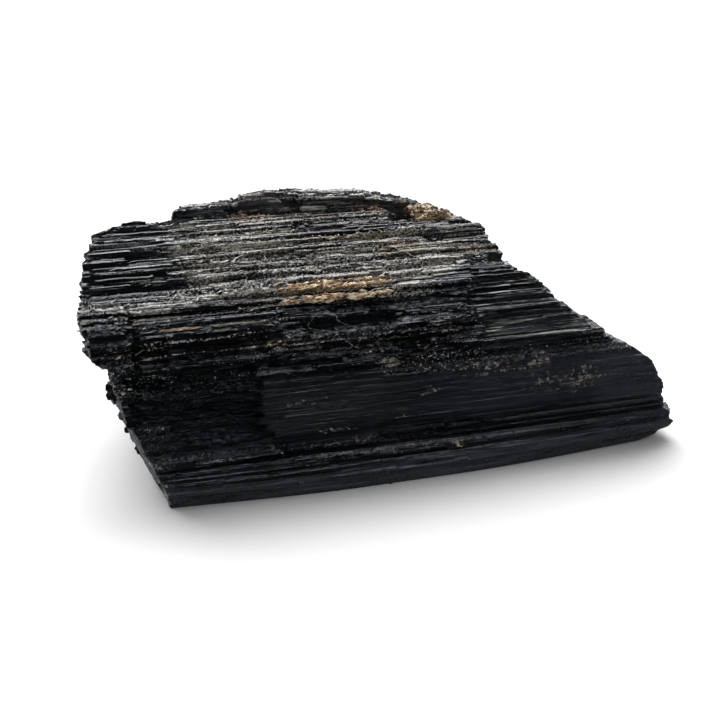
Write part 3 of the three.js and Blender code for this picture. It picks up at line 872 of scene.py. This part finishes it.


# ---- Where weathering, dust, stains, tints and painted light lie ----
# Each is a mark from 0 to 1 kept with every point of the meshes: x range, u range, strength,
# fade along x and along u.

MARKS = {
    "weathering_and_painted_highlight": [
        (-30, 66, 41.5, 85.5, 0.4, 1, 1), (66, 120, 47.4, 85.5, 0.36, 1, 1),
        (10, 64, 45, 80, 0.8, 12, 8), (-14, 26, 42, 50, 0.95, 4, 1.5), (22, 62, 47.2, 54, 1.5, 8, 1.5),
        (-20, 8, 54, 84, -0.08, 3, 1), (75.2, 83, 49, 52, -2, 0.6, 0.3), (10, 70, 87.5, 96, 0.8, 3, 1),
        (10, 70, 84, 88, 0.12, 4, 1), (-30, 67, 24, 41.5, 0.18, 3, 2),
        # The narrow rows below, 0.6 to 3.2 mm across in u, are painted highlights: pale lines where lit
        # ledges catch the light.
        (17, 40, 24.6, 25.4, 0.5, 2, 0.5), (0, 16, 10, 10.6, 0.45, 2, 0.4),
        (5, 22, 8.5, 9.1, 0.5, 2, 0.4), (40, 66, 27.2, 28, 0.4, 3, 0.4),
        (-4, 20, 30.8, 31.4, 0.4, 3, 0.4), (61.5, 68.5, 74, 84.5, -0.9, 0.8, 1),
        (-10, -0.5, 0, 17, 0.22, 1, 2), (-16, 66, 38.4, 41.6, 0.3, 3, 1),
        (9.6, 22, 34.7, 35.5, 0.6, 1, 0.5), (66, 110, 24, 42, 0.2, 3, 2),
        (50, 106, 21.5, 25.5, 0.14, 8, 1), (94, 116, 0, 24, 0.08, 6, 4),
    ],
    # On the foot's lowest band, below u = 4.8, this is painted light: the band is made pale grey for
    # light bounced off the floor. Elsewhere it is dust.
    "dust_and_painted_bounce": [
        (-6, 112, -2, 4.8, 1, 4, 0.8), (19, 112, 11, 22, 0.2, 2, 2), (92, 116, 2, 24, 0.3, 8, 3),
        (-10, 0, 1, 17, 0.35, 2, 2), (68, 112, 24, 42, 0.3, 3, 2), (10, 70, 83.5, 97, 0.9, 3, 1),
        (40, 112, 4, 11, 0.5, 20, 1),
    ],
    "crumbled": [
        (8, 68, 44, 82, 1, 8, 3), (68, 82, 44, 82, 0.25, 4, 3), (-14, 26, 42, 50, 0.8, 4, 1.5),
        (10, 70, 87.4, 96, 0.7, 4, 0.8), (50, 106, 21.5, 25.5, 0.8, 8, 1), (94, 116, 0, 24, 0.3, 6, 4),
        (-12, 112, -2, 4.6, 0.3, 4, 0.8), (-10, -0.5, 0, 17, 0.8, 1, 2), (-30, 8, 51, 83, 0.25, 4, 1),
        (-20, 66, 24, 41.5, 0.5, 3, 2), (-10, 19, 9, 26, 0.8, 3, 2), (-30, 120, 95, 160, 0.5, 4, 4),
    ],
    "gold": [
        (10, 74, 47, 84, 0.24, 10, 4), (36, 58, 65.2, 67.8, 0.4, 4, 0.8),
        (25.8, 51, 41.9, 47, 0.7, 1, 0.6), (25.4, 51, 39, 41.2, 0.55, 1, 0.5),
        (68, 78, 73, 85, 0.75, 2, 2), (52, 62, 55, 62, 0.4, 4, 3), (-12, -4, 30, 34, 0.1, 3, 2),
        (20, 25, 30, 31.6, 0.6, 2, 1),
    ],
    "rust": [
        (23, 34, 80.5, 85.5, 0.5, 3, 2), (28, 33, 87.4, 89, 0.4, 1, 0.6), (38, 50, 78, 82, 0.5, 3, 2),
        (54, 62, 80, 86.6, 0.5, 3, 3), (0, 8.6, 34.6, 35.8, 0.3, 1, 0.6),
        (67.6, 70.4, 77, 85, 0.9, 0.6, 2),
    ],
    "tan": [
        (44, 49, 22.6, 25.4, 0.9, 1.5, 1), (52.6, 55.4, 17.2, 18.8, 0.7, 1, 0.8),
        (65.5, 71.5, 20.2, 22.4, 0.8, 2, 0.8), (77, 82, 20.6, 23.4, 0.8, 2, 1),
        (79, 83, 16, 19, 0.6, 2, 2), (81, 83, 13.6, 15.4, 0.8, 1, 1), (88, 92, 14, 19.6, 0.7, 2, 2),
        (86, 88, 17.4, 18.6, 0.6, 1, 1), (70.5, 79, 52, 56, 0.9, 2, 0.8),
        (59, 61.4, 5.4, 6.8, 1.2, 0.4, 0.4), (24, 30, 18.2, 19.2, 0.8, 1, 0.5),
        (31, 37, 11.4, 12.4, 0.75, 1, 0.5), (46, 49, 12.6, 13.6, 0.5, 1, 0.6),
        (20, 23, 9, 10.4, 0.7, 1, 0.6), (-9, -3.5, 24.4, 25.8, 0.6, 1, 0.6),
        (52, 58, 26, 28, 0.5, 2, 1), (26, 62, 5.8, 10, 0.35, 8, 1), (16, 66, 28, 33, 0.35, 8, 2),
    ],
    "green": [(-8, 19, 9, 30, 1, 3, 4), (30, 49, 31, 35, 0.8, 3, 1)],
    "blue": [(2, 18, 10.5, 15.5, 1, 3, 2), (-4, 66, 4.5, 13, 0.8, 6, 3), (50, 112, 4, 24, 0.8, 10, 3)],
}
STAIN_REACH = 4.5  # how far in from the sides the stains show on the two ends
END_WEATHERING = 6.0  # the same for the pale weathering


def way_round(points):
    """u of the nearest point of the outline to each point, and how far off that is, in mm."""
    x, y, z = points.T
    nearest = np.full(len(x), 1e9)
    u = np.zeros(len(x))
    raised = sum(rise * (x - slant(y) > start) for start, rise in RIDGE_BREAKS)
    for a, b, turn_a, turn_b in zip(outline[:-1], outline[1:], turns[:-1], turns[1:]):
        start_z = a[1] + raised * a[2]
        run_y, run_z = b[0] - a[0], b[1] + raised * b[2] - start_z
        t = ((y - a[0]) * run_y + (z - start_z) * run_z) / (run_y**2 + run_z**2 + 1e-9)
        t = np.clip(t, 0, 1)
        away = (y - a[0] - t * run_y) ** 2 + (z - start_z - t * run_z) ** 2
        u = np.where(away < nearest, turn_a + t * (turn_b - turn_a), u)
        nearest = np.minimum(away, nearest)
    return u, np.sqrt(nearest)


def keep_with_points(mesh, name, values):
    layer = mesh.attributes.new(name, "FLOAT", "POINT")
    layer.data.foreach_set("value", values.astype(np.float32))


def mark(piece, shades):
    """Keeps the marks with the points of a piece. shades says how much of the weathering each
    slab or grain took."""
    mesh = piece.data
    places = np.empty(len(mesh.vertices) * 3, np.float32)
    mesh.vertices.foreach_get("co", places)
    points = places.reshape(-1, 3) / MM + np.array(BLOCK_MIDDLE)
    x, (u, deep) = points[:, 0], way_round(points)
    for name, areas in MARKS.items():
        value = np.zeros(len(x))
        for x0, x1, u0, u1, strength, fade_x, fade_u in areas:
            value += strength * patch(x, u, x0, x1, u0, u1, fade_x, fade_u)
        # Weathering and crumbling come in broad and narrow streaks along the prisms.
        if name == "weathering_and_painted_highlight":
            value *= 1 + 0.9 * drift(93, x / 11, u / 4.5) + 0.8 * drift(94, x / 17, u / 1.1)
            value *= (0.35 + 1.1 * shades) * ease((END_WEATHERING - deep) / 3)
        elif name == "crumbled":
            value *= 1 + 0.6 * drift(95, x / 14, u / 1.3)
        elif name in ("gold", "rust", "tan"):
            value *= ease((STAIN_REACH - deep) / 1.5)
        keep_with_points(mesh, name, np.clip(value, 0, 1))
    keep_with_points(mesh, "shade", shades + np.zeros(len(x)))


# ---- Materials ----


def linear(colour):
    """An sRGB hex colour as linear red, green, blue and alpha."""
    parts = [int(colour[i:i + 2], 16) / 255 for i in (1, 3, 5)]
    return [c / 12.92 if c <= 0.04045 else ((c + 0.055) / 1.055) ** 2.4 for c in parts] + [1.0]


def add(tree, kind, inputs=(), **settings):
    """Adds a node and gives its outputs. inputs gives each socket a value, or another node's
    output to link."""
    node = tree.nodes.new("ShaderNode" + kind)
    for name, value in settings.items():
        setattr(node, name, value)
    for socket, value in dict(inputs).items():
        if isinstance(value, bpy.types.NodeSocket):
            tree.links.new(value, node.inputs[socket])
        else:
            node.inputs[socket].default_value = value
    return node.outputs


def empty_material(name):
    """A material with no nodes but the one that gives the place on the piece, which is in metres."""
    material = bpy.data.materials.new(name)
    material.use_nodes = True
    material.node_tree.nodes.clear()
    return material, material.node_tree, add(material.node_tree, "TexCoord")["Object"]


def covered(tree, there, painted_gap_shade, pattern, soft):
    """Where a mark covers the surface: as large a share of it as the mark says, in the places
    where the pattern is high, and none of it down in gaps, which leaves painted shade there."""
    there = add(tree, "Math", {0: painted_gap_shade, 1: 0.8, 2: there}, operation="MULTIPLY_ADD")[0]
    over = add(tree, "Math", {0: there, 1: pattern}, operation="ADD")[0]
    return add(tree, "MapRange", {"Value": over, "From Min": 1.01, "From Max": 1.01 + soft})[0]


def schorl():
    """Schorl, the black tourmaline, as it grew and broke: glassy, near black, with fine grooves
    along the prisms that draw every reflection out into streaks. Weathered faces are grey and
    satin, and iron stains them gold and rust. Narrow pale rows on the front and shoulder are
    painted highlights, the foot's lowest band is painted lighter for light bounced off the floor,
    and the pale coats leave gaps black as painted shade."""
    material, tree, place = empty_material("schorl_grown_and_broken")
    crumbled, dust_and_painted_bounce, green, blue, weathering_and_painted_highlight, gold, tan, rust = (
        add(tree, "Attribute", attribute_name=name)["Fac"]
        for name in ("crumbled", "dust_and_painted_bounce", "green", "blue", "weathering_and_painted_highlight", "gold", "tan", "rust")
    )
    along = add(tree, "Mapping", {"Vector": place, "Scale": (0.045, 1, 1)})[0]
    # Crumbled faces break into strokes 0.4 mm wide and 1.6 mm long that lie across the prisms.
    leaning = add(tree, "Mapping", {
        "Vector": place, "Rotation": (0, 0, math.radians(52)), "Scale": (4, 1, 1),
    }, vector_type="TEXTURE")[0]
    # Grooves about 0.8 mm apart, hair-fine fibres, which are drawn 0.25 mm apart because the real
    # ones are too fine to show, grit of 0.4 mm, the strokes, and tan scales 1 to 4 mm wide.
    coarse, fine, grit, stroke, flakes = (
        add(tree, "TexNoise", {"Vector": where, "Scale": scale, "Detail": detail, "Roughness": rough})[0]
        for where, scale, detail, rough in (
            (along, 1250, 4, 0.6), (along, 4000, 2, 0.6), (place, 2400, 4, 0.65),
            (leaning, 2500, 2, 0.55), (place, 800, 2, 0.5),
        )
    )
    texture = add(tree, "Mix", {0: crumbled, 2: coarse, 3: stroke})[0]
    pattern, hair, speck, scaly, dust = (
        add(tree, "MapRange", {"Value": value, "From Min": low, "From Max": high})[0]
        for value, low, high in (
            (texture, 0.36, 0.64), (fine, 0.36, 0.64), (grit, 0.38, 0.62), (flakes, 0.36, 0.64),
            (texture, 0.26, 0.62),
        )
    )
    # Dust is pale grey; on the foot's lowest band the same grey is painted bounce light from the floor.
    dust = add(tree, "Math", {0: dust_and_painted_bounce, 1: dust}, operation="MULTIPLY")[0]
    black, glint = linear("#040506"), linear("#0b0e12")
    colour = add(tree, "Mix", {0: coarse, 6: black, 7: glint}, data_type="RGBA")[2]
    for there, tint in ((green, "#081110"), (blue, "#0a1018"), (dust, "#43464c")):
        colour = add(tree, "Mix", {0: there, 6: colour, 7: linear(tint)}, data_type="RGBA")[2]

    # How shut in a spot is within 1.5 mm, from 0 on an open face to -1 down in a gap: the pale coats are
    # taken out of gaps, which paints shade into them.
    gap_occlusion = add(tree, "AmbientOcclusion", {"Distance": 0.0015}, samples=6)["AO"]
    painted_gap_shade = add(tree, "MapRange", {
        "Value": gap_occlusion, "From Min": 0.35, "From Max": 0.8, "To Min": -1, "To Max": 0,
    })[0]
    weathering_and_painted_highlight = covered(tree, weathering_and_painted_highlight, painted_gap_shade, pattern, 0.25)
    streak = add(tree, "Mix", {0: crumbled, 2: hair, 3: speck})[0]
    # Grey weathering and painted highlights, gold, tan scales and rust: where each lies, what varies it,
    # and its shades.
    for there, varied, dark, pale in (
        (weathering_and_painted_highlight, streak, "#2a2a2a", "#f4efe2"),
        (covered(tree, gold, painted_gap_shade, speck, 0.25), hair, "#5a3a1c", "#ead09c"),
        (covered(tree, tan, painted_gap_shade, scaly, 0.3), speck, "#2c2a27", "#948a7e"),
        (covered(tree, rust, painted_gap_shade, speck, 0.3), hair, "#54301c", "#c58a50"),
    ):
        coat = add(tree, "Mix", {0: varied, 6: linear(dark), 7: linear(pale)}, data_type="RGBA")[2]
        colour = add(tree, "Mix", {0: there, 6: colour, 7: coat}, data_type="RGBA")[2]

    rough = add(tree, "MapRange", {"Value": weathering_and_painted_highlight, "To Min": 0.22, "To Max": 0.42})[0]
    pits = add(tree, "MapRange", {"Value": crumbled, "To Min": 0.4, "To Max": 1})[0]
    bump = add(tree, "Bump", {"Height": texture, "Strength": 0.8, "Distance": 0.00038})[0]
    for height, strength, distance in ((fine, 0.7, 0.00013), (grit, pits, 0.0002)):
        bump = add(tree, "Bump", {
            "Height": height, "Strength": strength, "Distance": distance, "Normal": bump,
        })[0]
    shader = add(tree, "BsdfPrincipled", {
        "Base Color": colour, "Roughness": rough, "IOR": 1.64,
        "Specular Tint": linear("#eaf2ff"), "Normal": bump,
    })
    add(tree, "OutputMaterial", {"Surface": shader[0]})
    return material


def stained_crust():
    """Feldspar and mica crust that grew on the prisms and was stained by iron: small flakes from
    cream through gold to brown, satin, with a pearly glint."""
    material, tree, place = empty_material("iron_stained_mica_crust")
    # Each flake has a shade of its own, with grit of 0.3 mm on it.
    shade, gold_here, rust_here = (
        add(tree, "Attribute", attribute_name=name)["Fac"] for name in ("shade", "gold", "rust")
    )
    grit = add(tree, "TexNoise", {"Vector": place, "Scale": 3200, "Detail": 3})[0]
    warm, cream = (
        add(tree, "MapRange", {"Value": shade, "From Min": low, "From Max": high})[0]
        for low, high in ((0.16, 0.42), (0.36, 0.66))
    )
    pale, gold, rust = (
        add(tree, "Mix", {0: varied, 6: linear(dark), 7: linear(light)}, data_type="RGBA")[2]
        for varied, dark, light in (
            (shade, "#3d3833", "#cabfae"), (warm, "#2e1c0c", "#c68c46"), (shade, "#5a3420", "#f4bc92"),
        )
    )
    gold = add(tree, "Mix", {0: cream, 6: gold, 7: linear("#fff2d4")}, data_type="RGBA")[2]
    gold_here = add(tree, "MapRange", {"Value": gold_here, "From Max": 0.5})[0]
    dark_here = add(tree, "MapRange", {
        "Value": grit, "From Min": 0.56, "From Max": 0.74, "To Max": 0.8,
    })[0]
    colour = pale
    for there, coat in ((gold_here, gold), (rust_here, rust), (dark_here, linear("#2a221a"))):
        colour = add(tree, "Mix", {0: there, 6: colour, 7: coat}, data_type="RGBA")[2]
    bump = add(tree, "Bump", {"Height": grit, "Strength": 0.6, "Distance": 0.0001})[0]
    shader = add(tree, "BsdfPrincipled", {
        "Base Color": colour, "Roughness": 0.45, "IOR": 1.56, "Normal": bump,
    })
    add(tree, "OutputMaterial", {"Surface": shader[0]})
    return material


def healed_quartz():
    """Quartz that healed fine cracks: off-white, with a satin break and grit of 0.5 mm."""
    material, tree, place = empty_material("quartz_in_healed_cracks")
    grit = add(tree, "TexNoise", {"Vector": place, "Scale": 1800, "Detail": 3})[0]
    dark, pale = linear("#3c3b3a"), linear("#c6c4be")
    colour = add(tree, "Mix", {0: grit, 6: dark, 7: pale}, data_type="RGBA")[2]
    shader = add(tree, "BsdfPrincipled", {"Base Color": colour, "Roughness": 0.4, "IOR": 1.54})
    add(tree, "OutputMaterial", {"Surface": shader[0]})
    return material


# ---- Floor, light and camera ----

# Brightness of what surrounds the block, where 1 is white.
DARK_ROOM = 0.08
WHITE_WALL = 1.8
SOFTBOX = 2.2
SHADED_FLOOR = 0.2
# What matt surfaces get from the broad light over the back of the block, and from everywhere.
BROAD_LIGHT = 7.0
FILL = 0.3
FLOOR_REACH = 3  # metres each way from the block's middle


def pale_floor():
    """A matt white card under the block, which the block's gloss doesn't show."""
    mesh = bpy.data.meshes.new("floor")
    r = FLOOR_REACH
    mesh.from_pydata([(-r, -r, 0), (r, -r, 0), (r, r, 0), (-r, r, 0)], [], [(0, 1, 2, 3)])
    floor = bpy.data.objects.new("floor", mesh)
    bpy.context.scene.collection.objects.link(floor)
    material = bpy.data.materials.new("white_card")
    material.use_nodes = True
    shader = material.node_tree.nodes["Principled BSDF"]
    shader.inputs["Base Color"].default_value = linear("#f4f4f4")
    shader.inputs["Roughness"].default_value = 0.9
    shader.inputs["Specular IOR Level"].default_value = 0.0
    mesh.materials.append(material)
    floor.visible_glossy = False


def studio():
    """Soft light from a broad softbox overhead, with a white wall behind the block that shows in
    its gloss and a dark room in front of it. The camera sees plain white."""
    world = bpy.data.worlds.new("studio")
    bpy.context.scene.world = world
    world.use_nodes = True
    world.cycles.sampling_method = "NONE"
    tree = world.node_tree
    tree.nodes.clear()
    way = add(tree, "SeparateXYZ", {0: add(tree, "TexCoord")["Generated"]})
    depth, height = way["Y"], way["Z"]
    overhead = add(tree, "Math", {0: depth, 1: 0.45, 2: height}, operation="MULTIPLY_ADD")[0]
    aside = add(tree, "Math", {0: way["X"]}, operation="ABSOLUTE")[0]
    behind = add(tree, "Math", {0: depth, 1: height}, operation="ADD")[0]
    behind = add(tree, "Math", {0: aside, 1: 0.15, 2: behind}, operation="MULTIPLY_ADD")[0]
    # The wall, the softbox, the shaded floor round the block that the gloss sees below the
    # horizon, and the broad light.
    wall, softbox, floor, broad = (
        add(tree, "MapRange", {
            "Value": value, "From Min": start, "From Max": stop, "To Min": dark, "To Max": bright,
        }, interpolation_type="SMOOTHSTEP")[0]
        for value, start, stop, dark, bright in (
            (depth, -0.15, 0.55, DARK_ROOM, WHITE_WALL), (overhead, 0.72, 0.92, 0, SOFTBOX),
            (height, -0.3, 0, SHADED_FLOOR, 1), (behind, 1.1, 1.4, FILL, BROAD_LIGHT),
        )
    )
    glossy = add(tree, "Math", {0: wall, 1: floor}, operation="MULTIPLY")[0]
    glossy = add(tree, "Math", {0: glossy, 1: softbox}, operation="ADD")[0]
    ray = add(tree, "LightPath")
    light = add(tree, "Mix", {0: ray["Is Diffuse Ray"], 2: glossy, 3: broad})[0]
    strength = add(tree, "Mix", {0: ray["Is Camera Ray"], 2: light, 3: 1})[0]
    background = add(tree, "Background", {"Color": (1, 1, 1, 1), "Strength": strength})
    add(tree, "OutputWorld", {"Surface": background[0]})
    bpy.context.scene.view_settings.view_transform = "Standard"


CAMERA_AZIMUTH = math.radians(-18)
CAMERA_ELEVATION = math.radians(20)
LENS_PIXELS = 1200  # focal length, for a picture 720 pixels wide
PICTURE_PIXELS = 720
SENSOR_WIDTH = 36
FOOT_PIXEL = (175, 505)  # where the bottom front edge's start, x = y = z = 0, shows
FOOT_DEPTH = 240.0  # its distance from the camera along the view, in mm


def camera():
    a, e = CAMERA_AZIMUTH, CAMERA_ELEVATION
    back = Vector((math.sin(a) * math.cos(e), -math.cos(a) * math.cos(e), math.sin(e)))
    right = Vector((math.cos(a), math.sin(a), 0))
    up = back.cross(right)
    half = PICTURE_PIXELS / 2
    ray = right * ((FOOT_PIXEL[0] - half) / LENS_PIXELS)
    ray = ray + up * ((half - FOOT_PIXEL[1]) / LENS_PIXELS) - back
    data = bpy.data.cameras.new("camera")
    data.sensor_width = SENSOR_WIDTH
    data.lens = SENSOR_WIDTH * LENS_PIXELS / PICTURE_PIXELS
    data.clip_start, data.clip_end = 0.01, 20
    seer = bpy.data.objects.new("camera", data)
    bpy.context.scene.collection.objects.link(seer)
    seer.matrix_world = Matrix((right, up, back)).transposed().to_4x4()
    seer.location = (-ray * FOOT_DEPTH - Vector(BLOCK_MIDDLE)) * MM
    bpy.context.scene.camera = seer


def add_piece(piece, finish, shades=0.5):
    mark(piece, shades)
    piece.data.materials.append(finish)
    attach(piece, "root")


black_stone = schorl()
block = make_block()
add_piece(block, black_stone)
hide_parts("black_tourmaline")
for piece, shades in (
    make_prisms("lying_slabs", *lying_prisms(31, SLAB_BEDS, SLAB_SECTION, SLAB_STATIONS)),
    make_prisms("lying_needles", *lying_prisms(32, NEEDLE_BEDS, NEEDLE_SECTION, NEEDLE_STATIONS)),
    make_prisms("prism_ends", *end_prisms(33)),
    make_grains("broken_grains", 34, GRAIN_BEDS),
):
    add_piece(piece, black_stone, shades)
crust, crust_shades = make_grains("stained_crust", 35, CRUST_BEDS, patchy=True)
add_piece(crust, stained_crust(), crust_shades)
add_piece(make_healed_cracks(), healed_quartz())
pale_floor()
studio()
camera()
